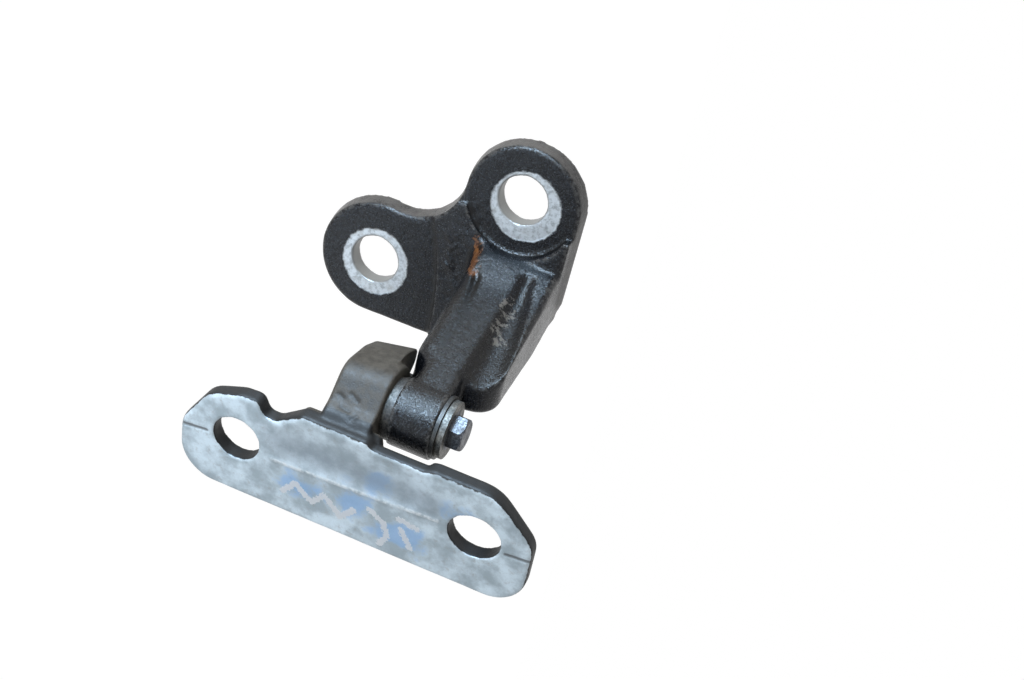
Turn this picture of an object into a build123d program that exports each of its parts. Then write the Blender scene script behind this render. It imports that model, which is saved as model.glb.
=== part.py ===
from build123d import *
import math
import os

# Car door hinge, millimetres. The pin stands upright along Z, its hex head on top.
# The origin is halfway between the two pillar bolt holes, on the face that meets the pillar.
# The pillar lies behind that face, toward +Y, and the arm reaches forward, toward -Y.

# pillar flange
pillar_hole_rise = 45.5
pillar_hole_shift = 39.5
pillar_hole_diameter = 16.8
flange_thickness = 6.5
lower_lobe_radius = 20.2
upper_lobe_radius = 19.8
upper_lobe_offset = 1.7
valley_radius = 19.5
flange_draft = 10.0
flange_skirt = 1.2
flange_edge_radius = 1.4
pad_radius = 19.3

# hinge pin line and the barrel around it
pin_x = 31.0
pin_y = -71.5
barrel_radius = 11.0
barrel_bottom = 17.9
barrel_length = 13.8

# arm between the flange and the barrel
arm_far_side = 42.6
arm_near_side = 12.1
arm_near_side_low = 13.8
arm_root_fillet = 18.0
arm_foot_depth = 5.0
arm_edge_radius = 5.0
arm_far_edge_radius = 2.0
arm_slope_start = Vector(0.2, -6.5)
arm_slope_end = Vector(20.1, -70.5)

# raised ground between the two bolt pads, as depths in front of the pillar face
ramp_left = -12.0
ramp_right = 46.0
ramp_low_depth = 6.6
ramp_high_depth = 10.8

# hollow in the arm's sloping face, measured down the slope and along the pin
scoop_start = 9.5
scoop_start_lift = 1.4
scoop_start_height = 33.4
scoop_start_radius = 3.0
scoop_end = 56.6
scoop_end_lift = 5.0
scoop_end_height = 38.0
scoop_end_radius = 9.4
crease_radius = 1.9

# stop that the lug's nose meets when the door is fully open
stop_bottom = -1.3
stop_top = 13.0
stop_overlap = 2.0

# cored pocket in the arm's hidden face
pocket_length = 36.0
pocket_width = 11.0
pocket_depth = 12.0
pocket_middle = Vector(27.4, -35.5, 25.5)
pocket_heading = 10.9

# door plate, measured from its lower bolt hole and from its bare face
rest_angle = 9.5
door_hole_height = -26.3
door_hole_pitch = 80.0
door_hole_diameter = 15.7
plate_thickness = 5.5
plate_boss_thickness = 7.0
plate_wide_side = 21.9
plate_pin_side = 18.5
plate_end_below = 19.2
plate_end_above = 18.5
pin_from_hole_row = 17.9
pin_from_bare_face = 20.4
plate_front_edge = 1.2
plate_back_edge = 1.2
flute_centre = 9.6
flute_radius = 42.0
flute_depth = 0.9
flute_length = 36.0
flute_fade = 10.0

# lug that carries the pin on the door plate
lug_bottom = -1.3
lug_top = 15.0
lug_nose_top = 12.9
lug_eye_radius = 13.2
lug_low_edge = 1.3
lug_top_edge = 0.7

# pin bolt, bushes and washers
bolt_diameter = 10.0
thread_diameter = 8.0
hex_across_flats = 10.0
hex_height = 4.4
head_top = 39.7
collar_radius = 6.3
washer_radius = 9.3
washer_thickness = 2.0
thrust_ring_thickness = 1.18
bush_outer_diameter = 13.0
bush_sleeve_length = 6.2
bush_flange_radius = 10.2
upper_bush_flange = 1.2
lower_bush_flange = 1.6
running_clearance = 0.04
end_float = 0.12


def rounded_outline(corners):
    # each corner is a point and the radius that rounds it
    points = [(x, y) for x, y, radius in corners]
    outline = make_face(Polyline(*points, close=True))
    for x, y, radius in corners:
        if radius > 0:
            corner = outline.vertices().sort_by_distance((x, y, 0))[0]
            outline = fillet(corner, radius)
    return outline


def flange_outline():
    # two lobes joined by a hollow, with one long straight side, drawn X across and Z up
    low = Vector(pillar_hole_shift / 2, -pillar_hole_rise / 2)
    high = Vector(upper_lobe_offset - pillar_hole_shift / 2, pillar_hole_rise / 2)
    low_reach = lower_lobe_radius + valley_radius
    high_reach = upper_lobe_radius + valley_radius
    between = high - low
    along = (low_reach**2 - high_reach**2 + between.length**2) / (2 * between.length)
    aside = math.sqrt(low_reach**2 - along**2)
    unit = between.normalized()
    valley = low + unit * along + Vector(-unit.Y, unit.X) * aside
    leave_low = low + (valley - low).normalized() * lower_lobe_radius
    join_high = high + (valley - high).normalized() * upper_lobe_radius
    hollow = valley + ((leave_low + join_high) * 0.5 - valley).normalized() * valley_radius
    low_side = low + Vector(lower_lobe_radius, 0)
    low_far = low + Vector(-0.55, -1).normalized() * lower_lobe_radius
    high_far = high + Vector(-1, 0.35).normalized() * upper_lobe_radius
    high_side = high + Vector(0, upper_lobe_radius)
    corner = Vector(20, high_side.Y)
    straight_end = Vector(low_side.X, 4)
    face = make_face(
        ThreePointArc(low_side, low_far, leave_low)
        + ThreePointArc(leave_low, hollow, join_high)
        + ThreePointArc(join_high, high_far, high_side)
        + Line(high_side, corner)
        + Line(corner, straight_end)
        + Line(straight_end, low_side)
    )
    face = fillet(face.vertices().sort_by_distance((corner.X, corner.Y, 0))[0], 14)
    return fillet(face.vertices().sort_by_distance((straight_end.X, straight_end.Y, 0))[0], 12)


def from_flange(sketch, start, depth, draft=0.0):
    # a sketch drawn X across and Z up, grown toward -Y from a given depth
    return Pos(0, -start, 0) * extrude(Plane.XZ * sketch, amount=depth, taper=draft)


def along_pin(sketch, bottom, top):
    # a sketch drawn in X and Y, raised along the pin
    return Pos(0, 0, bottom) * extrude(sketch, amount=top - bottom)


def across_pin(sketch, start, end):
    # a sketch drawn Z across and Y up, grown along X
    facing = Plane(origin=(end, 0, 0), x_dir=(0, 0, 1), z_dir=(-1, 0, 0))
    return extrude(facing * sketch, amount=end - start)


def pin_cylinder(radius, bottom, top):
    return Pos(0, 0, bottom) * Cylinder(radius, top - bottom, align=(Align.CENTER, Align.CENTER, Align.MIN))


def pin_cone(low_radius, high_radius, bottom, top):
    upright = (Align.CENTER, Align.CENTER, Align.MIN)
    return Pos(0, 0, bottom) * Cone(low_radius, high_radius, top - bottom, align=upright)


def at_pin(shape):
    return Pos(pin_x, pin_y, 0) * shape


def pillar_holes(radius, start, depth):
    # the two bolt holes of the flange, or pads around them, as cylinders across it
    drill = Plane.XZ * Cylinder(radius, depth, align=(Align.CENTER, Align.CENTER, Align.MIN))
    low = Pos(pillar_hole_shift / 2, -start, -pillar_hole_rise / 2) * drill
    high = Pos(-pillar_hole_shift / 2, -start, pillar_hole_rise / 2) * drill
    return low, high


def arm_side_profile():
    # the arm as seen along the pin: a flare off the flange, a sloping upper face, a thick root
    return rounded_outline([
        (-14.5, -1.0, 0),
        (-14.5, -arm_foot_depth, 0),
        (-0.3, -arm_foot_depth, arm_root_fillet),
        (arm_slope_end.X, arm_slope_end.Y, 0),
        (pin_x, pin_y, 0),
        (38.0, -65.0, 0),
        (31.0, -60.2, 6),
        (25.8, -20.0, 10),
        (21.0, -8.0, 4),
        (21.0, -1.0, 0),
    ])


def arm_plan_profile():
    # the arm as seen across the pin: flared where it leaves the flange, cut back beside the bolt head
    near = arm_near_side
    far = arm_far_side
    barrel_top = barrel_bottom + barrel_length
    return rounded_outline([
        (far, -1.0, 0),
        (2.5, -1.0, 0),
        (2.5, -arm_foot_depth, 0),
        (near, -arm_foot_depth, 9.5),
        (arm_near_side_low, -54.5, 5),
        (barrel_bottom, -59.5, 4),
        (barrel_bottom, pin_y, 0),
        (barrel_top, pin_y, 0),
        (barrel_top, -60.2, 0),
        (far, -58.6, 8),
    ])


def ramp():
    # the ground between the two pads rises toward the arm and ends at the flange's hollow
    far = 40.0
    low_corner = (ramp_left, -9.5)
    near_corner = (far, 1.9)
    pad_edge = ThreePointArc(low_corner, (17.2, 0.3), near_corner)
    field = make_face(pad_edge + Polyline(near_corner, (far, ramp_right), (ramp_left, ramp_right), low_corner))
    block = from_flange(field, flange_thickness - 1.0, ramp_high_depth)
    slope = make_face(Polyline(
        (ramp_left, -4.0),
        (ramp_left, -ramp_low_depth),
        (ramp_right - 10.0, -ramp_high_depth),
        (ramp_right, -ramp_high_depth),
        (ramp_right, -4.0),
        close=True,
    ))
    inside = from_flange(flange_outline(), 0, 2 * ramp_high_depth)
    return block & across_pin(slope, ramp_left - 2.0, far) & inside


def round_nosed(places, radii):
    # a chain of balls with cones between them, to be cut out of a face
    body = Pos(places[0]) * Sphere(radii[0])
    for first, last, start, end in zip(places, places[1:], radii, radii[1:]):
        tilt = Plane(origin=first, z_dir=last - first)
        body += tilt * Cone(start, end, (last - first).length, align=(Align.CENTER, Align.CENTER, Align.MIN))
        body += Pos(last) * Sphere(end)
    return body


def above_arm(down, lift, height):
    # a place over the arm's sloping face: how far down the slope, how far off it, how high along the pin
    along = arm_slope_end - arm_slope_start
    down_slope = along.normalized()
    off_slope = Vector(down_slope.Y, -down_slope.X)
    place = arm_slope_start + down_slope * down + off_slope * lift
    return Vector(place.X, place.Y, height)


def scoop():
    # a long hollow in the arm's sloping face, widening toward the barrel
    first = above_arm(scoop_start, scoop_start_lift, scoop_start_height)
    last = above_arm(scoop_end, scoop_end_lift, scoop_end_height)
    return round_nosed([first, last], [scoop_start_radius, scoop_end_radius])


def crease():
    # a narrow groove that parts the arm's near rib from its middle, from the pad's foot downward
    first = Vector(-1.5, -10.5, 11.8)
    middle = above_arm(15.5, 0.6, 17.9)
    last = above_arm(30.5, 0.8, 20.1)
    return round_nosed([first, middle, last], [crease_radius, crease_radius * 0.9, crease_radius / 2])


def underside_pocket():
    # a long cored pocket in the arm's hidden face
    cut = extrude(SlotOverall(pocket_length, pocket_width), amount=pocket_depth, taper=6.0)
    return Pos(pocket_middle) * Rot(0, 0, pocket_heading) * Rot(0, -90, 0) * Rot(0, 0, 90) * cut


def edges_where(shape, rule):
    # the edges whose middle point meets a rule
    return [edge for edge in shape.edges() if rule(edge.position_at(0.5), edge)]


def height_span(edge):
    # how far an edge runs toward the flange
    return abs(edge.position_at(0).Y - edge.position_at(1).Y)


def above_slope(point):
    # how far a point lies from the arm's sloping upper face, measured along X
    along = arm_slope_end - arm_slope_start
    return abs(point.X - arm_slope_start.X - (point.Y - arm_slope_start.Y) * along.X / along.Y)


def arm():
    side = along_pin(arm_side_profile(), -6.0, arm_far_side)
    plan = across_pin(arm_plan_profile(), -14.5, 42.0)
    body = side & plan
    far_low = edges_where(body, lambda p, e: p.Z > 29.8 and p.Y < -12 and p.X > 20.5 and above_slope(p) > 6)
    far_low = [edge for edge in far_low if height_span(edge) > 0.3]
    body = fillet(far_low, arm_far_edge_radius)
    far_high = edges_where(body, lambda p, e: p.Z > 29.8 and p.Y < -14 and above_slope(p) < 0.5)
    body = fillet([edge for edge in far_high if height_span(edge) > 0.3], arm_far_edge_radius)
    near_high = edges_where(body, lambda p, e: p.Z < 17 and -65 < p.Y < -20 and above_slope(p) < 4)
    return fillet([edge for edge in near_high if height_span(edge) > 1], arm_edge_radius)


def stop_foot():
    # the finger under the window, which the lug's nose meets at the end of the door's travel
    finger = rounded_outline([
        (pin_x + 6.8, pin_y + 10.7, 1.2),
        (pin_x - 0.7, pin_y + 19.5, 0),
        (pin_x + 0.2, pin_y + 22.6, 0),
        (pin_x + 4.6, pin_y + 27.0, 3),
        (pin_x + 9.2, pin_y + 22.0, 3),
        (pin_x + 10.6, pin_y + 13.2, 1.5),
    ])
    root = rounded_outline([
        (23.0, -36.0, 0),
        (25.0, -53.0, 0),
        (33.0, -55.0, 2),
        (39.8, -50.5, 2),
        (33.5, -41.0, 4),
    ])
    standing = along_pin(finger, stop_bottom, stop_top + stop_overlap)
    return standing + along_pin(root, stop_top + 0.7, stop_top + 10.0)


def pillar_bracket():
    flange = from_flange(offset(flange_outline(), flange_skirt), 0, flange_thickness, flange_draft)
    flange = fillet(flange.faces().sort_by(Axis.Y)[0].edges(), flange_edge_radius)
    low_pad, high_pad = pillar_holes(pad_radius, flange_thickness, 14.0)
    low_hole, high_hole = pillar_holes(pillar_hole_diameter / 2, -1.0, 30.0)
    barrel_top = barrel_bottom + barrel_length
    body = flange + ramp() + arm()
    body -= high_pad
    body += at_pin(pin_cylinder(barrel_radius, barrel_bottom, barrel_top))
    body -= scoop()
    body -= crease()
    body -= underside_pocket()
    body += stop_foot()
    body -= at_pin(pin_cylinder(bush_outer_diameter / 2, barrel_bottom - 1, barrel_top + 1))
    body -= low_hole
    body -= high_hole
    return body


def plate_outline():
    # drawn Z across and X up, measured from the lower bolt hole; the pin's side is cut by a
    # notch below the lug and stepped down beside the barrel
    wide = plate_wide_side
    narrow = -plate_pin_side
    left = -plate_end_below
    right = door_hole_pitch + plate_end_above
    outline = rounded_outline([
        (left, wide, 12.5),
        (right, wide, 12),
        (right, -4.0, 9),
        (84.0, narrow, 12),
        (64.0, narrow, 3),
        (60.6, -17.3, 3),
        (44.0, -17.3, 2),
        (42.0, -19.3, 2),
        (20.5, -19.3, 3),
        (12.4, -13.1, 3.5),
        (8.8, -13.1, 2.5),
        (6.4, -18.2, 3),
        (0.0, -17.8, 9),
        (-10.5, -13.6, 9),
        (left, 0.5, 12),
    ])
    return Pos(door_hole_height, pin_from_hole_row) * outline


def on_plate(sketch, start, depth):
    # a sketch drawn Z across and X up, grown from the bare face toward the back
    facing = Plane(origin=(0, -pin_from_bare_face + start, 0), x_dir=(0, 0, 1), z_dir=(0, 1, 0))
    return extrude(facing * sketch, amount=depth)


def lug_profile(nose_x, nose_y):
    # a foot on the plate, a round middle, a nose past the pin
    return rounded_outline([
        (-1.0, -18.0, 0),
        (-3.4, -15.6, 2),
        (-5.0, -11.8, 3),
        (-13.4, -3.4, 8),
        (nose_x - 5.6, nose_y - 10.2, 14),
        (nose_x - 0.4, nose_y + 0.6, 3.5),
        (nose_x + 4.6, nose_y - 1.3, 2.5),
        (9.4, 5.6, 7),
        (11.8, -2.0, 6),
        (9.6, -9.6, 5),
        (11.8, -13.8, 3),
        (17.0, -16.2, 0),
        (17.0, -18.0, 0),
    ])


def rim_at(body, height):
    # the lug's edges that lie at one height, without those inside the plate
    flat = edges_where(body, lambda p, e: abs(p.Z - height) < 0.01 and p.Y > -14.5)
    return [edge for edge in flat if abs(edge.position_at(0).Z - edge.position_at(1).Z) < 0.01]


def lug():
    # the finger that carries the pin: its nose leans outward toward the barrel, its eye stands higher
    low = Pos(0, 0, lug_bottom) * lug_profile(-3.8, 21.6)
    high = Pos(0, 0, lug_nose_top) * lug_profile(-6.4, 22.2)
    body = loft([low, high], ruled=True)
    eye = lug_profile(-6.4, 22.2) & Circle(lug_eye_radius)
    foot = lug_profile(-6.4, 22.2) & Pos(4.0, -16.0) * Rectangle(18.0, 10.0)
    body += along_pin(eye + foot, lug_nose_top, lug_top)
    body = fillet(rim_at(body, lug_bottom), lug_low_edge)
    return fillet(rim_at(body, lug_top), lug_top_edge)


def plate_flute():
    # a shallow hollow along the bare face, between the two bolt holes, that runs out at both ends
    middle = door_hole_height + door_hole_pitch / 2
    deep = Cylinder(flute_radius, flute_length)
    end = Cone(flute_radius, flute_radius - 1.1 * flute_depth, flute_fade)
    shift = (flute_length + flute_fade) / 2
    body = deep + Pos(0, 0, shift) * end + Pos(0, 0, -shift) * Rot(180, 0, 0) * end
    return Pos(flute_centre, -pin_from_bare_face - flute_radius + flute_depth, middle) * body


def barrel_relief():
    # the plate's back corner is cut away where the arm's barrel turns past it
    wedge = make_face(Polyline((-1.2, -18.9), (3.4, -14.0), (-8.0, -10.0), (-8.0, -18.9), close=True))
    return along_pin(wedge, barrel_bottom - 0.7, barrel_bottom + barrel_length + 3.8)


def door_plate():
    row = pin_from_hole_row
    plate = on_plate(plate_outline(), 0, plate_thickness)
    plate = fillet(plate.faces().sort_by(Axis.Y)[0].edges(), plate_front_edge)
    plate = fillet(plate.faces().sort_by(Axis.Y)[-1].edges(), plate_back_edge)
    plate -= barrel_relief()
    boss = rounded_outline([(-7.0, -0.4, 2), (18.5, -0.4, 2), (22.0, 24.0, 6), (-12.0, 24.0, 6)])
    body = plate + on_plate(boss, plate_thickness - 1.0, plate_boss_thickness - plate_thickness + 1.0) + lug()
    body -= plate_flute()
    for height in (door_hole_height, door_hole_height + door_hole_pitch):
        body -= on_plate(Pos(height, row) * Circle(door_hole_diameter / 2), -1.0, 12.0)
    body -= pin_cylinder(thread_diameter / 2, lug_bottom - 1, lug_top + 1)
    return at_pin(Rot(0, 0, rest_angle) * body)


def hinge_bolt():
    # hex head, round collar, plain shank through the bushes, thinner threaded end in the lug
    seat = barrel_bottom + barrel_length + upper_bush_flange + end_float + washer_thickness
    hex_bottom = head_top - hex_height
    six_sides = RegularPolygon(hex_across_flats / 2, 6, major_radius=False)
    crown = pin_cone(9.3, 4.7, hex_bottom, head_top)
    hexagon = along_pin(six_sides, hex_bottom, head_top)
    collar = pin_cone(collar_radius, collar_radius - 0.9, seat, hex_bottom)
    shank = pin_cylinder(bolt_diameter / 2, lug_top, seat)
    thread = pin_cylinder(thread_diameter / 2, lug_bottom + 1.5, lug_top)
    return at_pin((hexagon & crown) + collar + shank + thread)


def ring(outer, inner, bottom, top):
    return at_pin(pin_cylinder(outer, bottom, top) - pin_cylinder(inner, bottom - 1, top + 1))


def bolt_washer():
    bottom = barrel_bottom + barrel_length + upper_bush_flange + end_float
    plain = ring(washer_radius, bolt_diameter / 2 + 0.15, bottom, bottom + washer_thickness)
    return chamfer(plain.edges().filter_by(GeomType.CIRCLE).sort_by(Axis.Z)[-1:], 0.1)


def upper_bush():
    # pressed into the barrel from the head's side
    top = barrel_bottom + barrel_length
    inner = bolt_diameter / 2 + running_clearance
    sleeve = ring(bush_outer_diameter / 2, inner, top - bush_sleeve_length, top)
    return sleeve + ring(bush_flange_radius, inner, top, top + upper_bush_flange)


def lower_bush():
    # pressed into the barrel from the lug's side
    inner = bolt_diameter / 2 + running_clearance
    sleeve = ring(bush_outer_diameter / 2, inner, barrel_bottom, barrel_bottom + bush_sleeve_length)
    return sleeve + ring(bush_flange_radius, inner, barrel_bottom - lower_bush_flange, barrel_bottom)


def thrust_ring():
    # rests on the lug and carries the weight of the door against the lower bush
    return ring(bush_flange_radius - 0.4, bolt_diameter / 2 + 0.15, lug_top, lug_top + thrust_ring_thickness)


os.makedirs("parts", exist_ok=True)
export_step(pillar_bracket(), "parts/pillar_bracket.step")
export_step(door_plate(), "parts/door_plate.step")
export_step(hinge_bolt(), "parts/hinge_bolt.step")
export_step(bolt_washer(), "parts/bolt_washer.step")
export_step(upper_bush(), "parts/upper_bush.step")
export_step(lower_bush(), "parts/lower_bush.step")
export_step(thrust_ring(), "parts/thrust_ring.step")
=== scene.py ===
import math
import bmesh
import bpy
import numpy as np
from mathutils import Matrix, Vector


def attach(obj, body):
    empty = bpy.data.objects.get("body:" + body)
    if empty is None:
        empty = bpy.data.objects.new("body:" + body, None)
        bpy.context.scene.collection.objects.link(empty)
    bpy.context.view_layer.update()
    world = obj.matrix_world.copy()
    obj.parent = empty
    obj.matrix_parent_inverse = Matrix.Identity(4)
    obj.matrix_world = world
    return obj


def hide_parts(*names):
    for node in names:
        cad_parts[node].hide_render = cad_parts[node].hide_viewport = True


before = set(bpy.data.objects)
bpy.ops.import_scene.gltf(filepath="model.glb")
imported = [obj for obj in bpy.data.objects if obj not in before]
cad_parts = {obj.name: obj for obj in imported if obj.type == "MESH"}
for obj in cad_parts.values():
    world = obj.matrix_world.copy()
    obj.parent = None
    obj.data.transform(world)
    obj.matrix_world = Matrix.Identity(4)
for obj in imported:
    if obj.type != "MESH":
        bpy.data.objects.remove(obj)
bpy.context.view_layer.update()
millimetre = 0.001

# how the hinge is seen: the lens and the camera's place and directions
viewLook = {
    "lens": 49.86,
    "eye": (-0.1994, -0.4240, 0.1214),
    "right": (-0.232, 0.325, 0.917),
    "up": (-0.850, 0.391, -0.354),
}


def forgedCopy(node, name, voxel):
    # a copy of a CAD piece as one even skin of small faces: doubles merged, then voxels
    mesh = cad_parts[node].data.copy()
    work = bmesh.new()
    work.from_mesh(mesh)
    bmesh.ops.remove_doubles(work, verts=work.verts, dist=0.000001)
    work.to_mesh(mesh)
    work.free()
    mesh.materials.clear()
    skin = bpy.data.objects.new(name, mesh)
    bpy.context.scene.collection.objects.link(skin)
    remesh = skin.modifiers.new("voxels", "REMESH")
    remesh.mode = "VOXEL"
    remesh.voxel_size = voxel * millimetre
    remesh.use_smooth_shade = True
    bpy.context.view_layer.update()
    ready = bpy.data.meshes.new_from_object(skin.evaluated_get(bpy.context.evaluated_depsgraph_get()))
    skin.modifiers.clear()
    skin.data = ready
    skin.data.name = name
    return skin


def readPoints(skin):
    # vertex places in millimetres and vertex normals, as arrays
    count = len(skin.data.vertices)
    places = np.zeros(count * 3)
    normals = np.zeros(count * 3)
    skin.data.vertices.foreach_get("co", places)
    skin.data.vertices.foreach_get("normal", normals)
    return places.reshape(-1, 3) * 1000.0, normals.reshape(-1, 3)


def writePoints(skin, places):
    skin.data.vertices.foreach_set("co", (places * millimetre).ravel())
    skin.data.update()


def readEdges(skin):
    edges = np.zeros(len(skin.data.edges) * 2, np.int64)
    skin.data.edges.foreach_get("vertices", edges)
    return edges.reshape(-1, 2)


def neighbourMean(values, edges):
    # the mean of each point's neighbours, for one column or several
    values = values.reshape(len(values), -1)
    count = np.bincount(edges.ravel(), minlength=len(values)).astype(float)[:, None]
    total = np.zeros_like(values)
    for column in range(values.shape[1]):
        total[:, column] = np.bincount(edges[:, 0], values[edges[:, 1], column], len(values))
        total[:, column] += np.bincount(edges[:, 1], values[edges[:, 0], column], len(values))
    return total / count


def relax(skin, rounds, share=1.0, back=0.3):
    # each point moves half of the way to the middle of its neighbours, then part of the way back
    # outward, so that edges soften and the body keeps its size; share says where, from 0 to 1
    places, _ = readPoints(skin)
    edges = readEdges(skin)
    share = np.broadcast_to(share, len(places))[:, None]
    for step in range(rounds):
        places += (neighbourMean(places, edges) - places) * 0.5 * share
        places -= (neighbourMean(places, edges) - places) * back * share
    writePoints(skin, places)


def softNoise(places, size, seed):
    # the mean of 14 sine waves with random directions, each about as long as size, mostly from -1 to 1
    dice = np.random.RandomState(seed)
    waves = dice.normal(size=(14, 3))
    waves *= (2 * math.pi / size / np.linalg.norm(waves, axis=1) * dice.uniform(0.6, 1.4, 14))[:, None]
    return np.sin(places @ waves.T + dice.uniform(0, 2 * math.pi, 14)).mean(axis=1) * 2.2


def pathDistance(places, path):
    # the distance from every point to a chain of straight stretches
    best = np.full(len(places), 1e9)
    for first, last in zip(path, path[1:]):
        first = np.array(first, float)
        along = np.array(last, float) - first
        share = np.clip((places - first) @ along / (along @ along), 0, 1)
        best = np.minimum(best, np.linalg.norm(places - first - share[:, None] * along, axis=1))
    return best


def smoothStep(values, low, high):
    # 0 below low, 1 above high, with a soft curve between
    share = np.clip((values - low) / (high - low), 0, 1)
    return share * share * (3 - 2 * share)


def storeMask(skin, name, values):
    mask = skin.data.attributes.new(name, "FLOAT", "POINT")
    mask.data.foreach_set("value", values.astype(np.float32))


def edgeMask(skin):
    # how far each point stands out of the middle of its neighbours, smoothed: edges are above 0
    # and hollows below
    places, normals = readPoints(skin)
    edges = readEdges(skin)
    standing = ((places - neighbourMean(places, edges)) * normals).sum(axis=1)
    for step in range(5):
        standing = neighbourMean(standing, edges)[:, 0] * 0.7 + standing * 0.3
    return standing


# the forged bracket: places in millimetres in the hinge's own frame
bracketLook = {
    "voxel": 0.5,
    "softening": 9,
    "localSoftening": 26,
    "localBack": 0.22,
    "waviness": 0.10,
    "swellSizes": (14, 5),
    "rampPath": ((-12.0, -7.5, 9.0), (-5.0, -8.0, 6.5), (6.0, -8.0, 5.5), (19.0, -8.0, 6.0)),
    "rampWaves": 0.22,
    "rampWaveSize": 4.5,
    "rootPlace": (2.0, -14.5),
    "rootFill": 2.4,
    "rootReach": 8.0,
    "boltRings": (((20.6, -22.6), 12.2), ((-18.0, 24.2), 12.2)),
    "boltHoles": ((19.75, -22.75), (-19.75, 22.75)),
    "holeRadius": 8.4,
    "scoopPath": ((4.0, -18.0, 34.0), (10.0, -40.0, 36.0), (15.0, -60.0, 38.0)),
    "shoulderPath": ((2.0, -10.0, 14.0), (1.0, -10.0, 26.0), (-1.0, -9.0, 40.0)),
    # creasePath and creaseWidth say where shade is painted along the crease between the arm's ribs
    "creasePath": ((-1.5, -10.2, 11.5), (4, -20, 17), (8.1, -32.1, 19.6), (10.8, -40.8, 20.2),
                   (14.5, -52, 19.5)),
    "creaseWidth": 3.0,
    "rustPath": ((-1.5, -10.3, 11.4), (2.3, -14.4, 14.2), (4.2, -20.0, 15.6)),
    "rustWidth": 3.0,
    "scuffPath": ((6.0, -26.5, 31.5), (8.6, -33.0, 34.5), (9.6, -37.0, 33.0), (11.8, -42.0, 36.0)),
    "scuffWidth": 3.4,
    "castMarks": (((0.4, -7.8, 0.8), (2.4, -7.9, 2.6)), ((3.3, -8.1, 4.6), (5.2, -8.0, 3.0)),
                  ((7.4, -7.9, 2.6), (9.4, -8.0, 4.4)), ((10.8, -7.8, 2.2), (12.0, -8.1, 5.0))),
    "castHeight": 0.55,
    "castWidth": 0.75,
    "paintColour": (0.0035, 0.0045, 0.007),
    "paintSheen": (0.009, 0.0115, 0.017),
    "dustColour": (0.0115, 0.0095, 0.0070),
    "rimColour": (0.115, 0.110, 0.104),
    # speckColour is the tone of painted sparkle: pale flecks as glints off the pebbled paint
    "speckColour": (0.13, 0.135, 0.14),
    # the tone of the lighter edges: worn paint, and partly a painted highlight
    "wornAndHighlightColour": (0.19, 0.19, 0.185),
    # the colour of the painted shade in the crease and the hollows
    "creaseShadeColour": (0.003, 0.003, 0.003),
    "zincLight": (0.56, 0.60, 0.63),
    "zincDark": (0.31, 0.335, 0.35),
    "zincGrey": (0.34, 0.34, 0.33),
    "wallColour": (0.30, 0.30, 0.29),
    "rustDark": (0.10, 0.035, 0.012),
    "rustColour": (0.26, 0.105, 0.03),
    "scuffColour": (0.24, 0.23, 0.21),
    "paintRoughness": 0.16,
    "paintSpecular": 0.27,
    "paintBump": 0.23,
    "zincRoughness": 0.42,
    "zincMetal": 0.35,
}


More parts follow.
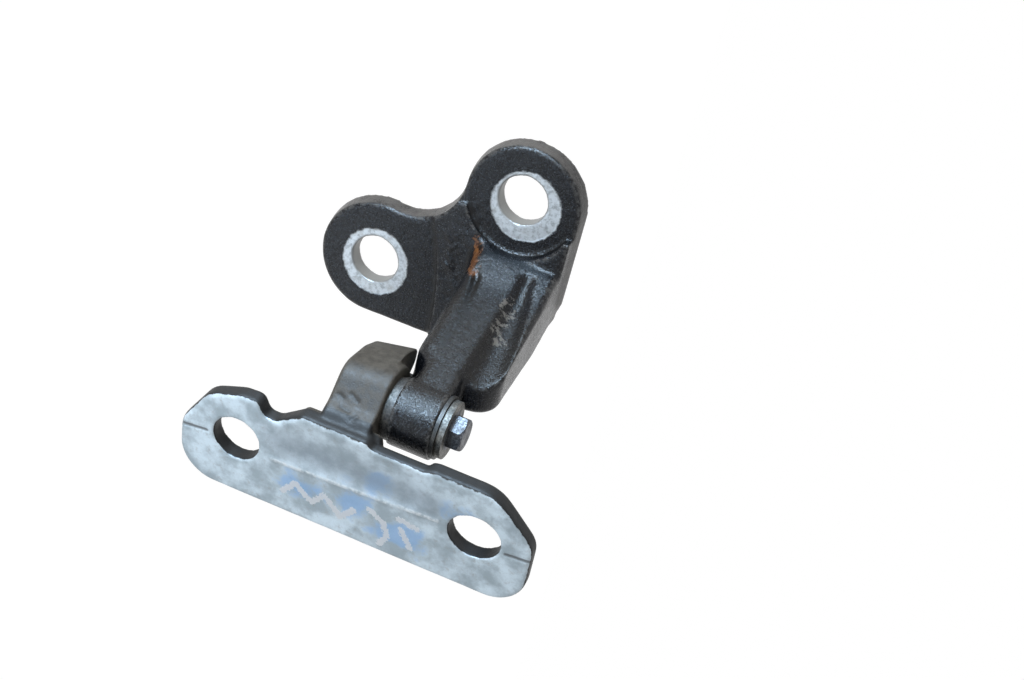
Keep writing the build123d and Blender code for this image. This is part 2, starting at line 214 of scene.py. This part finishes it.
def dressBracket():
    # the softened skin of the bracket, softer still round the scoop and the shoulder. The arm's root
    # is filled by rootFill * exp(-(distance / rootReach) ** 2). The skin is then moved along its
    # normals by a swell of sine waves, by castHeight * exp(-(distance / castWidth) ** 2) at each
    # cast mark and by short waves on the ramp. Masks say where zinc, rust, dust and scuffs are,
    # and where shade is painted along the crease and in the hollows
    skin = forgedCopy("pillar_bracket", "bracketSkin", bracketLook["voxel"])
    relax(skin, bracketLook["softening"])
    places, normals = readPoints(skin)
    upper = smoothStep(-normals[:, 0] - normals[:, 1], 0.25, 0.6)
    scoopNear = smoothStep(-pathDistance(places, bracketLook["scoopPath"]), -14, -9)
    shoulderNear = smoothStep(-pathDistance(places, bracketLook["shoulderPath"]), -9, -5)
    near = np.maximum(scoopNear, shoulderNear) * upper
    relax(skin, bracketLook["localSoftening"], near, bracketLook["localBack"])
    places, normals = readPoints(skin)
    root = smoothStep(-places[:, 1], 8.5, 13) * smoothStep(-np.abs(places[:, 2] - 27.5), -17, -13) * upper
    x, y = bracketLook["rootPlace"]
    away = np.hypot(places[:, 0] - x, places[:, 1] - y)
    fill = bracketLook["rootFill"] * np.exp(-(away / bracketLook["rootReach"]) ** 2) * root
    writePoints(skin, places + fill[:, None] * np.array([-0.66, -0.75, 0.0]))
    places, normals = readPoints(skin)
    storeMask(skin, "edge", edgeMask(skin))
    long, short = bracketLook["swellSizes"]
    swell = softNoise(places, long, 3) * 0.7 + softNoise(places, short, 4) * 0.4
    holes = np.full(len(places), 1e9)
    for x, z in bracketLook["boltHoles"]:
        holes = np.minimum(holes, np.hypot(places[:, 0] - x, places[:, 2] - z))
    quiet = smoothStep(holes, bracketLook["holeRadius"] + 0.6, bracketLook["holeRadius"] + 4)
    back = smoothStep(-places[:, 1], 0.3, 1.5)
    rings = np.full(len(places), -50.0)
    onPad = smoothStep(places[:, 1], -7.4, -6.9) * smoothStep(-normals[:, 1], 0.5, 0.8)
    for middle, radius in bracketLook["boltRings"]:
        away = np.hypot(places[:, 0] - middle[0], places[:, 2] - middle[1])
        rings = np.maximum(rings, radius - away - 20 * (1 - onPad))
    inHole = np.where(places[:, 1] > -7.6, bracketLook["holeRadius"] + 0.9 - holes, -50.0)
    storeMask(skin, "bare", np.maximum(rings, inHole))
    fromWall = holes - bracketLook["holeRadius"]
    storeMask(skin, "wall", smoothStep(fromWall, 0.1, 0.9))
    # the crease mask marks a line of painted shade; rust and scuffs are real marks
    for name in ("rust", "crease", "scuff"):
        away = pathDistance(places, bracketLook[name + "Path"])
        storeMask(skin, name, bracketLook[name + "Width"] - away)
    slope = smoothStep(-places[:, 1], 22, 34) * smoothStep(-normals[:, 0], 0.35, 0.8)
    storeMask(skin, "dusty", slope)
    side = smoothStep(-np.abs(normals[:, 1]), -0.62, -0.3) * smoothStep(places[:, 1], -7.2, -6.0)
    storeMask(skin, "rim", side * smoothStep(holes, 10, 12))
    marks = np.full(len(places), 1e9)
    for mark in bracketLook["castMarks"]:
        marks = np.minimum(marks, pathDistance(places, mark))
    front = smoothStep(-normals[:, 1], 0.6, 0.9)
    raised = bracketLook["castHeight"] * np.exp(-(marks / bracketLook["castWidth"]) ** 2) * front
    ramp = smoothStep(-pathDistance(places, bracketLook["rampPath"]), -6.0, -2.5) * front
    raised += softNoise(places, bracketLook["rampWaveSize"], 6) * bracketLook["rampWaves"] * ramp
    places += normals * (swell * bracketLook["waviness"] * quiet * back + raised)[:, None]
    writePoints(skin, places)
    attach(skin, "pillar_side")
    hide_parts("pillar_bracket")
    print("bracket skin:", len(skin.data.polygons), "faces")
    return skin


# the door plate with its lug, in millimetres: places across the plate and along the pin, from the
# pin's own line. Only pinPlace and lugDents are places in the hinge's own frame
plateLook = {
    "voxel": 0.46,
    "softening": 8,
    "waviness": 0.07,
    "swellSizes": (16, 6),
    "upperHole": (17.9, 53.7),
    "holeStretch": 1.09,
    "pinPlace": (31.0, -71.5),
    "restAngle": 9.5,
    "ridgePath": ((19.9, -13.5), (18.6, 16.5), (17.0, 42.0)),
    "ridgeHeight": 0.30,
    "ridgeWidth": 1.1,
    "endCreases": (((20.2, -44.5), (19.2, -36.5)), ((19.4, 63.5), (18.7, 71.5))),
    "creaseDepth": 0.30,
    "creaseWidth": 0.6,
    "flutePlace": 12.5,
    "fluteWidth": 5.5,
    "strokes": (((31, -9), (26, -5), (31, 1), (26, 5), (32, 11), (27, 15)),
                ((24, 20), (27, 25), (32, 27), (36, 25)), ((27, 31), (33, 35)), ((23, 30), (24, 36))),
    "strokeWidth": 1.3,
    "patches": ((27, -2, 9), (24, 14, 8), (30, 30, 10), (13, 20, 6), (13, 48, 6)),
    "lugDents": (((26.4, -82.9, 1.2), (27.0, -83.2, 3.0)), ((25.4, -82.0, 5.0), (26.6, -82.9, 7.6)),
                 ((28.8, -85.3, 3.6), (29.1, -85.7, 6.4)), ((29.4, -86.1, 9.4), (30.4, -87.4, 8.2))),
    "dentDepth": 0.26,
    "dentWidth": 0.7,
    "zincLight": (0.71, 0.82, 0.89),
    "zincDark": (0.38, 0.46, 0.51),
    "spotColour": (0.33, 0.34, 0.34),
    "speckColour": (0.24, 0.24, 0.23),
    "blueColour": (0.24, 0.43, 0.70),
    # the colour of the painted shade in the shallow flute on the pin side of the ridge
    "fluteShadeColour": (0.22, 0.26, 0.30),
    # the colour of the painted shade in the end creases
    "creaseShadeColour": (0.09, 0.09, 0.09),
    # the colour of the painted highlight along the ridge
    "ridgeHighlightColour": (0.84, 0.88, 0.90),
    "wornZinc": (0.74, 0.76, 0.77),
    "strokeColour": (0.92, 0.94, 0.96),
    "lugLight": (0.106, 0.096, 0.078),
    "lugDark": (0.047, 0.0415, 0.033),
    "dentColour": (0.03, 0.03, 0.028),
    "wornSteel": (0.27, 0.26, 0.24),
    "bandColour": (0.018, 0.018, 0.018),
    "specular": 0.28,
    "zincMetal": 0.32,
    "chalkMetal": 0.04,
    "zincBump": 0.12,
}


def plateLocal(places):
    # places in the plate's own directions: away from the pin-side edge, off the bare face, along the pin
    turn = math.radians(plateLook["restAngle"])
    x = places[:, 0] - plateLook["pinPlace"][0]
    y = places[:, 1] - plateLook["pinPlace"][1]
    across = x * math.cos(turn) + y * math.sin(turn)
    off = -x * math.sin(turn) + y * math.cos(turn)
    return np.stack([across, off, places[:, 2]], axis=1)


def plateWorld(local):
    turn = math.radians(plateLook["restAngle"])
    x = local[:, 0] * math.cos(turn) - local[:, 1] * math.sin(turn) + plateLook["pinPlace"][0]
    y = local[:, 0] * math.sin(turn) + local[:, 1] * math.cos(turn) + plateLook["pinPlace"][1]
    return np.stack([x, y, local[:, 2]], axis=1)


def dressPlate():
    # the softened skin of the plate, its upper bolt hole stretched along the pin. It is moved along
    # its normals by a swell of sine waves and by bells, height * exp(-(distance / width) ** 2): a
    # ridge up and end creases down on the bare face, and small dents down on the lug
    skin = forgedCopy("door_plate", "plateSkin", plateLook["voxel"])
    relax(skin, plateLook["softening"])
    places, normals = readPoints(skin)
    storeMask(skin, "edge", edgeMask(skin))
    local = plateLocal(places)
    turned = plateLocal(normals + np.array([*plateLook["pinPlace"], 0]))
    facing = -turned[:, 1]
    flat = local * np.array([1.0, 0.0, 1.0])
    row, high = plateLook["upperHole"]
    reach = np.hypot(local[:, 0] - row, local[:, 2] - high)
    share = smoothStep(-reach, -13, -8.5) * (plateLook["holeStretch"] - 1)
    share *= smoothStep(-local[:, 1], 12, 13)
    local[:, 2] += (local[:, 2] - high) * share
    onFace = smoothStep(-local[:, 1], 18.6, 19.0)
    upperEdge = smoothStep(-local[:, 0], -6, 4)
    storeMask(skin, "bare", (facing - 0.55 - 0.38 * upperEdge) * 4 - 6 * (1 - onFace))
    flatPath = [(across, 0.0, height) for across, height in plateLook["ridgePath"]]
    ridge = pathDistance(flat, flatPath)
    # the ridge mask also sets where a highlight is painted along the ridge
    storeMask(skin, "ridge", 1.5 - ridge)
    creases = np.full(len(places), 1e9)
    for first, last in plateLook["endCreases"]:
        line = ((first[0], 0, first[1]), (last[0], 0, last[1]))
        creases = np.minimum(creases, pathDistance(flat, line))
    # the creases mask also sets where shade is painted in the end creases
    storeMask(skin, "creases", 1.0 - creases)
    strokes = np.full(len(places), 1e9)
    for stroke in plateLook["strokes"]:
        line = [(across, 0.0, height) for across, height in stroke]
        strokes = np.minimum(strokes, pathDistance(flat, line))
    storeMask(skin, "strokes", plateLook["strokeWidth"] - strokes)
    blue = np.full(len(places), -50.0)
    for across, height, radius in plateLook["patches"]:
        blue = np.maximum(blue, radius - np.hypot((flat[:, 0] - across) * 1.7, flat[:, 2] - height))
    storeMask(skin, "blue", blue)
    # this mask sets where shade is painted in the shallow flute on the pin side of the ridge
    flute = np.exp(-((flat[:, 0] - plateLook["flutePlace"]) / plateLook["fluteWidth"]) ** 2)
    storeMask(skin, "flute", flute * smoothStep(-np.abs(flat[:, 2] - 14), -36, -24))
    sides = smoothStep(-facing, -0.9, -0.75) * smoothStep(-local[:, 1], 14.2, 14.8)
    storeMask(skin, "band", sides * smoothStep(facing, -0.6, -0.3))
    dents = np.full(len(places), 1e9)
    for dent in plateLook["lugDents"]:
        dents = np.minimum(dents, pathDistance(places, dent))
    storeMask(skin, "dents", 1.1 - dents)
    long, short = plateLook["swellSizes"]
    swell = softNoise(places, long, 8) * 0.7 + softNoise(places, short, 9) * 0.3
    face = smoothStep(facing, 0.8, 0.95) * onFace
    rise = swell * plateLook["waviness"]
    rise -= plateLook["dentDepth"] * np.exp(-(dents / plateLook["dentWidth"]) ** 2)
    rise += face * plateLook["ridgeHeight"] * np.exp(-(ridge / plateLook["ridgeWidth"]) ** 2)
    rise -= face * plateLook["creaseDepth"] * np.exp(-(creases / plateLook["creaseWidth"]) ** 2)
    places = plateWorld(local) + normals * rise[:, None]
    writePoints(skin, places)
    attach(skin, "door_side")
    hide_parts("door_plate")
    print("plate skin:", len(skin.data.polygons), "faces")
    return skin


def newMaterial(name):
    material = bpy.data.materials.new(name)
    material.use_nodes = True
    tree = material.node_tree
    shader = tree.nodes["Principled BSDF"]
    return material, tree, shader


def addNode(tree, kind, values=None, **settings):
    # a node whose sockets take either a value or another node's output
    node = tree.nodes.new(kind)
    for key, value in settings.items():
        setattr(node, key, value)
    for key, value in (values or {}).items():
        if isinstance(value, bpy.types.NodeSocket):
            tree.links.new(value, node.inputs[key])
        else:
            node.inputs[key].default_value = value
    return node


def objectPoint(tree):
    # the place on the piece, in millimetres
    where = addNode(tree, "ShaderNodeTexCoord").outputs["Object"]
    scaled = addNode(tree, "ShaderNodeVectorMath", {0: where, "Scale": 1000.0}, operation="SCALE")
    return scaled.outputs["Vector"]


def noise(tree, point, size, detail=2.0, rough=0.5):
    # noise whose lumps are about size millimetres wide
    values = {"Vector": point, "Scale": 1.0 / size, "Detail": detail, "Roughness": rough}
    return addNode(tree, "ShaderNodeTexNoise", values).outputs["Fac"]


def attribute(tree, name):
    return addNode(tree, "ShaderNodeAttribute", attribute_name=name).outputs["Fac"]


def calc(tree, operation, first, second=0.0, third=None):
    values = {0: first, 1: second}
    if third is not None:
        values[2] = third
    return addNode(tree, "ShaderNodeMath", values, operation=operation).outputs["Value"]


def between(tree, value, low, high, start=0.0, end=1.0):
    # start below low, end above high, soft in between
    values = {"Value": value, "From Min": low, "From Max": high, "To Min": start, "To Max": end}
    return addNode(tree, "ShaderNodeMapRange", values, interpolation_type="SMOOTHSTEP").outputs["Result"]


def mixColour(tree, share, first, second):
    node = addNode(tree, "ShaderNodeMix", {0: share}, data_type="RGBA")
    for socket, colour in ((6, first), (7, second)):
        if isinstance(colour, bpy.types.NodeSocket):
            tree.links.new(colour, node.inputs[socket])
        else:
            node.inputs[socket].default_value = (*colour, 1.0)
    return node.outputs[2]


def mixValue(tree, share, first, second):
    node = addNode(tree, "ShaderNodeMix", {0: share, 2: first, 3: second}, data_type="FLOAT")
    return node.outputs[0]


def addBump(tree, shader, strength, depth, height):
    # fine relief that only shades: a height of 1 stands depth millimetres out
    values = {"Strength": strength, "Distance": depth * millimetre, "Height": height}
    tree.links.new(addNode(tree, "ShaderNodeBump", values).outputs["Normal"], shader.inputs["Normal"])


def joined(tree, operation, *values):
    # several values put together one after the other
    total = values[0]
    for value in values[1:]:
        total = calc(tree, operation, total, value)
    return total


def bracketMaterial():
    # black paint with a fine pebbled surface and painted sparkle flecks; lighter on the edges, partly
    # worn thin and partly a painted highlight; dusty on the arm, with painted shade in the crease and
    # the hollows, bare zinc under the bolt heads, a rust streak and some pale scuffs
    look = bracketLook
    material, tree, shader = newMaterial("wornBlackPaint")
    point = objectPoint(tree)
    fine = noise(tree, point, 0.5, 2.0, 0.6)
    grain = noise(tree, point, 1.0, 3.0, 0.6)
    spots = noise(tree, point, 2.0, 4.0, 0.65)
    patches = noise(tree, point, 7.0, 4.0, 0.6)
    broad = noise(tree, point, 22.0, 3.0, 0.5)
    edge = attribute(tree, "edge")
    ragged = between(tree, spots, 0.3, 0.7, -0.55, 0.55)
    bareEdge = calc(tree, "ADD", attribute(tree, "bare"), calc(tree, "MULTIPLY", ragged, 0.55))
    bare = between(tree, bareEdge, -0.4, 0.5)
    film = between(tree, joined(tree, "MULTIPLY", patches, broad), 0.16, 0.42)
    dust = calc(tree, "MULTIPLY", attribute(tree, "dusty"), between(tree, spots, 0.25, 0.7, 0.35, 1.0))
    dust = calc(tree, "MAXIMUM", dust, calc(tree, "MULTIPLY", film, 0.22))
    dust = calc(tree, "MULTIPLY", dust, between(tree, grain, 0.3, 0.6, 0.5, 1.0))
    paint = mixColour(tree, between(tree, grain, 0.4, 0.7), look["paintColour"], look["paintSheen"])
    paint = mixColour(tree, dust, paint, look["dustColour"])
    rim = calc(tree, "MULTIPLY", attribute(tree, "rim"), between(tree, patches, 0.3, 0.6, 0.45, 1.0))
    paint = mixColour(tree, rim, paint, look["rimColour"])
    # painted highlight: pale flecks scattered over the paint as tiny glints of its pebbles
    paintedSparkle = between(tree, fine, 0.60, 0.72)
    paint = mixColour(tree, calc(tree, "MULTIPLY", paintedSparkle, 0.55), paint, look["speckColour"])
    # lighter convex edges: partly worn paint, partly a painted highlight along the edges
    wearAndHighlight = calc(tree, "MULTIPLY", between(tree, edge, 0.008, 0.032), between(tree, spots, 0.40, 0.60))
    paint = mixColour(tree, calc(tree, "MULTIPLY", wearAndHighlight, 0.45), paint, look["wornAndHighlightColour"])
    # painted shade: hollows and the crease between the arm's ribs darkened nearly to black, as shade
    hollowShade = between(tree, edge, -0.003, -0.014)
    crease = between(tree, joined(tree, "ADD", attribute(tree, "crease"), ragged), 0.0, 1.6)
    shadow = calc(tree, "MAXIMUM", crease, calc(tree, "MULTIPLY", hollowShade, 0.6))
    paint = mixColour(tree, shadow, paint, look["creaseShadeColour"])
    rustNoise = between(tree, noise(tree, point, 2.2, 5.0, 0.7), 0.3, 0.7, -1.7, 0.7)
    rust = between(tree, calc(tree, "ADD", attribute(tree, "rust"), rustNoise), 0.0, 1.6, 0.0, 0.9)
    rustTone = mixColour(tree, between(tree, grain, 0.35, 0.65), look["rustDark"], look["rustColour"])
    paint = mixColour(tree, rust, paint, rustTone)
    scuffNoise = between(tree, noise(tree, point, 2.2, 6.0, 0.75), 0.35, 0.62, -3.6, 0.6)
    scuff = between(tree, calc(tree, "ADD", attribute(tree, "scuff"), scuffNoise), 0.1, 0.9)
    paint = mixColour(tree, calc(tree, "MULTIPLY", scuff, 0.75), paint, look["scuffColour"])
    zincNoise = between(tree, noise(tree, point, 1.5, 5.0, 0.7), 0.34, 0.56)
    zinc = mixColour(tree, zincNoise, look["zincDark"], look["zincLight"])
    greyNoise = between(tree, noise(tree, point, 3.5, 3.0, 0.6), 0.5, 0.75, 0.0, 0.7)
    zinc = mixColour(tree, greyNoise, zinc, look["zincGrey"])
    zinc = mixColour(tree, attribute(tree, "wall"), look["wallColour"], zinc)
    tree.links.new(mixColour(tree, bare, paint, zinc), shader.inputs["Base Color"])
    dull = joined(tree, "MAXIMUM", dust, rim, rust, scuff)
    paintRough = between(tree, grain, 0.3, 0.7, look["paintRoughness"], look["paintRoughness"] + 0.08)
    paintRough = calc(tree, "ADD", paintRough, calc(tree, "MULTIPLY", dull, 0.15))
    tree.links.new(mixValue(tree, bare, paintRough, look["zincRoughness"]), shader.inputs["Roughness"])
    tree.links.new(calc(tree, "MULTIPLY", bare, look["zincMetal"]), shader.inputs["Metallic"])
    shader.inputs["Specular IOR Level"].default_value = look["paintSpecular"]
    pebbles = joined(tree, "ADD", calc(tree, "MULTIPLY", grain, 0.7), calc(tree, "MULTIPLY", fine, 0.35),
                     calc(tree, "MULTIPLY", spots, 0.5))
    height = calc(tree, "MULTIPLY", pebbles, mixValue(tree, bare, 1.0, 0.35))
    height = calc(tree, "ADD", height, calc(tree, "MULTIPLY", bare, -0.5))
    addBump(tree, shader, 1.0, look["paintBump"], height)
    return material


def plateMaterial():
    # dull zinc with cloudy patches, a bluish cast and pale chalk strokes, painted shade in the flute
    # and the end creases and a painted highlight along the ridge; the plate's upper edge keeps a band
    # of dark paint, and the lug is satin grey-brown steel
    look = plateLook
    material, tree, shader = newMaterial("dullZinc")
    point = objectPoint(tree)
    fine = noise(tree, point, 0.5, 3.0, 0.65)
    cloudy = noise(tree, point, 9.0, 5.0, 0.6)
    spots = noise(tree, point, 2.4, 4.0, 0.65)
    edge = attribute(tree, "edge")
    ragged = between(tree, spots, 0.3, 0.7, -0.5, 0.5)
    bare = between(tree, calc(tree, "ADD", attribute(tree, "bare"), ragged), -0.25, 0.35)
    zinc = mixColour(tree, between(tree, cloudy, 0.35, 0.66), look["zincDark"], look["zincLight"])
    zinc = mixColour(tree, between(tree, spots, 0.52, 0.78, 0.0, 0.55), zinc, look["spotColour"])
    zinc = mixColour(tree, between(tree, fine, 0.62, 0.75, 0.0, 0.35), zinc, look["speckColour"])
    blueEdge = calc(tree, "ADD", attribute(tree, "blue"), between(tree, cloudy, 0.3, 0.7, -7.0, 4.0))
    zinc = mixColour(tree, calc(tree, "MULTIPLY", between(tree, blueEdge, -4.0, 4.0), 0.72), zinc,
                     look["blueColour"])
    # painted shade: the flute darkened as the shade of its hollow
    flute = calc(tree, "MULTIPLY", attribute(tree, "flute"), 0.62)
    zinc = mixColour(tree, flute, zinc, look["fluteShadeColour"])
    # painted shade: the dented end creases darkened, as the shade that falls in them
    creaseShade = between(tree, attribute(tree, "creases"), 0.1, 0.8, 0.0, 0.8)
    zinc = mixColour(tree, creaseShade, zinc, look["creaseShadeColour"])
    # painted highlight: a pale line along the raised ridge, as the light it catches
    ridge = between(tree, attribute(tree, "ridge"), 0.5, 1.2)
    ridge = calc(tree, "MULTIPLY", ridge, between(tree, spots, 0.35, 0.6))
    zinc = mixColour(tree, calc(tree, "MULTIPLY", ridge, 0.65), zinc, look["ridgeHighlightColour"])
    chalkNoise = between(tree, noise(tree, point, 1.1, 4.0, 0.7), 0.3, 0.6, -0.8, 0.1)
    chalk = between(tree, calc(tree, "ADD", attribute(tree, "strokes"), chalkNoise), -0.15, 0.25)
    chalk = calc(tree, "MULTIPLY", chalk, between(tree, attribute(tree, "bare"), 0.5, 1.0))
    zinc = mixColour(tree, calc(tree, "MULTIPLY", chalk, 0.9), zinc, look["strokeColour"])
    zinc = mixColour(tree, between(tree, edge, 0.02, 0.05, 0.0, 0.5), zinc, look["wornZinc"])
    steel = mixColour(tree, between(tree, spots, 0.3, 0.72), look["lugDark"], look["lugLight"])
    dented = between(tree, attribute(tree, "dents"), 0.1, 0.8, 0.0, 0.55)
    steel = mixColour(tree, dented, steel, look["dentColour"])
    steel = mixColour(tree, between(tree, edge, 0.02, 0.05, 0.0, 0.35), steel, look["wornSteel"])
    steel = mixColour(tree, attribute(tree, "band"), steel, look["bandColour"])
    tree.links.new(mixColour(tree, bare, steel, zinc), shader.inputs["Base Color"])
    zincRough = between(tree, cloudy, 0.3, 0.7, 0.42, 0.56)
    zincRough = calc(tree, "ADD", zincRough, calc(tree, "MULTIPLY", chalk, 0.3))
    steelRough = between(tree, spots, 0.3, 0.7, 0.46, 0.62)
    tree.links.new(mixValue(tree, bare, steelRough, zincRough), shader.inputs["Roughness"])
    metal = mixValue(tree, chalk, look["zincMetal"], look["chalkMetal"])
    tree.links.new(calc(tree, "MULTIPLY", bare, metal), shader.inputs["Metallic"])
    shader.inputs["Specular IOR Level"].default_value = look["specular"]
    height = joined(tree, "ADD", fine, spots, calc(tree, "MULTIPLY", chalk, 0.3))
    addBump(tree, shader, 0.6, look["zincBump"], height)
    return material


def steelMaterial(name, dark, light, rough, metallic):
    # turned steel with dark specks and cloudy grime, rougher where it is grimy
    material, tree, shader = newMaterial(name)
    point = objectPoint(tree)
    specks = noise(tree, point, 0.7, 4.0, 0.7)
    cloudy = noise(tree, point, 3.5, 4.0, 0.6)
    colour = mixColour(tree, between(tree, specks, 0.35, 0.65), dark, light)
    colour = mixColour(tree, between(tree, cloudy, 0.45, 0.7, 0.0, 0.6), colour, dark)
    tree.links.new(colour, shader.inputs["Base Color"])
    tree.links.new(between(tree, cloudy, 0.3, 0.7, rough, rough + 0.22), shader.inputs["Roughness"])
    shader.inputs["Metallic"].default_value = metallic
    addBump(tree, shader, 0.7, steelBump, specks)
    return material


# the small steel pieces: how far their fine relief stands out in millimetres, and for each its
# darkest and lightest tone, its roughness and how metallic it is
steelBump = 0.12
steelLook = {
    "hinge_bolt": ((0.05, 0.052, 0.057), (0.17, 0.18, 0.20), 0.36, 0.75),
    "bolt_washer": ((0.055, 0.054, 0.050), (0.20, 0.195, 0.18), 0.40, 0.7),
    "upper_bush": ((0.018, 0.018, 0.018), (0.07, 0.068, 0.062), 0.38, 0.3),
    "lower_bush": ((0.018, 0.018, 0.018), (0.09, 0.086, 0.078), 0.38, 0.3),
    "thrust_ring": ((0.020, 0.020, 0.019), (0.12, 0.115, 0.10), 0.42, 0.4),
}
bracketSkin = dressBracket()
bracketSkin.data.materials.append(bracketMaterial())
plateSkin = dressPlate()
plateSkin.data.materials.append(plateMaterial())
for node, (dark, light, rough, metallic) in steelLook.items():
    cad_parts[node].data.materials.clear()
    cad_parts[node].data.materials.append(steelMaterial(node + "Steel", dark, light, rough, metallic))
print("materials are on")


def addCamera():
    # the camera stands at the eye and looks the way that is across both right and up
    back = Vector(viewLook["right"]).cross(Vector(viewLook["up"])).normalized()
    right = Vector(viewLook["right"]).normalized()
    up = back.cross(right).normalized()
    data = bpy.data.cameras.new("photoCamera")
    data.lens = viewLook["lens"]
    data.sensor_width = 36.0
    camera = bpy.data.objects.new("photoCamera", data)
    bpy.context.scene.collection.objects.link(camera)
    turn = Matrix((right, up, back)).transposed().to_4x4()
    camera.matrix_world = Matrix.Translation(viewLook["eye"]) @ turn
    bpy.context.scene.camera = camera
    return right, up, back


right, up, back = addCamera()

# each lamp: how far right, up and toward the viewer of lampAim it stands, its size, power and colour
lampAim = Vector((0.02, -0.05, 0.0))
lampLook = {
    "windowGlint": (-0.075, 0.225, 0.365, 0.10, 4.2, (0.50, 0.74, 1.0)),
    "topGlint": (-0.02, 0.350, 0.270, 0.07, 2.2, (0.55, 0.78, 1.0)),
    "rootGlint": (0.09, 0.388, 0.135, 0.05, 0.5, (0.50, 0.74, 1.0)),
    "leftGlint": (-0.29, -0.05, 0.27, 0.05, 0.4, (0.60, 0.78, 1.0)),
    "windowLight": (-0.10, 0.30, 0.31, 0.20, 1.6, (0.91, 0.955, 1.0)),
    "leftSky": (-0.34, -0.24, 0.17, 0.16, 0.36, (0.80, 0.90, 1.0)),
    "warmTop": (0.10, 0.42, -0.02, 0.26, 0.2, (1.0, 0.93, 0.83)),
}


def addLamp(name):
    across, rise, toward, size, power, colour = lampLook[name]
    data = bpy.data.lights.new(name, "AREA")
    data.shape = "SQUARE"
    data.size = size
    data.energy = power
    data.color = colour
    lamp = bpy.data.objects.new(name, data)
    lamp.visible_diffuse = not name.endswith("Glint")  # a glint is only seen mirrored in gloss and metal
    bpy.context.scene.collection.objects.link(lamp)
    place = lampAim + right * across + up * rise + back * toward
    turn = (place - lampAim).to_track_quat("Z", "Y").to_matrix().to_4x4()
    lamp.matrix_world = Matrix.Translation(place) @ turn


for name in lampLook:
    addLamp(name)


# the surroundings: how bright the world is on the object, and the floor's size, height, tones,
# and how white and how self-lit it is where it is seen
roomLook = {
    "softColour": (0.93, 0.96, 1.0, 1),
    "softStrength": 0.32,
    "floorHalf": 4.0,
    "floorHeight": -0.45,
    "floorDark": (0.80, 0.80, 0.80),
    "floorLight": (0.84, 0.84, 0.84),
    "floorGlow": 1.14,
    "floorShare": 0.85,
}


def seenShare(tree):
    # 1 where the surroundings are seen, mirrored or looked through at, otherwise 0
    rays = addNode(tree, "ShaderNodeLightPath")
    seen = calc(tree, "MAXIMUM", rays.outputs["Is Camera Ray"], rays.outputs["Is Glossy Ray"])
    return calc(tree, "MAXIMUM", seen, rays.outputs["Is Transmission Ray"])


def whiteWorld():
    # plain soft light on the object; seen directly or mirrored, the surroundings are white
    world = bpy.data.worlds.new("whiteRoom")
    bpy.context.scene.world = world
    world.use_nodes = True
    tree = world.node_tree
    tree.nodes.clear()
    values = {"Color": roomLook["softColour"], "Strength": roomLook["softStrength"]}
    soft = addNode(tree, "ShaderNodeBackground", values)
    white = addNode(tree, "ShaderNodeBackground", {"Color": (1, 1, 1, 1), "Strength": 1.0})
    mix = addNode(tree, "ShaderNodeMixShader", {0: seenShare(tree), 1: soft.outputs[0], 2: white.outputs[0]})
    addNode(tree, "ShaderNodeOutputWorld", {"Surface": mix.outputs[0]})


def paleFloor():
    # a plain pale floor well below the hinge, which hangs from its pillar bolts: mostly white
    # where it is seen or mirrored, with the rest left to the light and the shadow that fall on it
    mesh = bpy.data.meshes.new("paleFloor")
    half = roomLook["floorHalf"]
    height = roomLook["floorHeight"]
    corners = [(-half, -half, height), (half, -half, height), (half, half, height), (-half, half, height)]
    mesh.from_pydata(corners, [], [(0, 1, 2, 3)])
    floor = bpy.data.objects.new("paleFloor", mesh)
    bpy.context.scene.collection.objects.link(floor)
    material, tree, shader = newMaterial("paleFloor")
    shader.inputs["Roughness"].default_value = 0.9
    point = addNode(tree, "ShaderNodeTexCoord").outputs["Object"]
    cloudy = noise(tree, point, 0.4, 3.0, 0.5)
    tone = mixColour(tree, cloudy, roomLook["floorDark"], roomLook["floorLight"])
    tree.links.new(tone, shader.inputs["Base Color"])
    white = addNode(tree, "ShaderNodeEmission", {"Color": (1, 1, 1, 1), "Strength": roomLook["floorGlow"]})
    share = calc(tree, "MULTIPLY", seenShare(tree), roomLook["floorShare"])
    mix = addNode(tree, "ShaderNodeMixShader", {0: share, 1: shader.outputs[0], 2: white.outputs[0]})
    tree.links.new(mix.outputs[0], tree.nodes["Material Output"].inputs["Surface"])
    mesh.materials.append(material)


whiteWorld()
paleFloor()
bpy.context.scene.view_settings.view_transform = "Standard"
print("camera, lamps, floor and white surroundings are set")
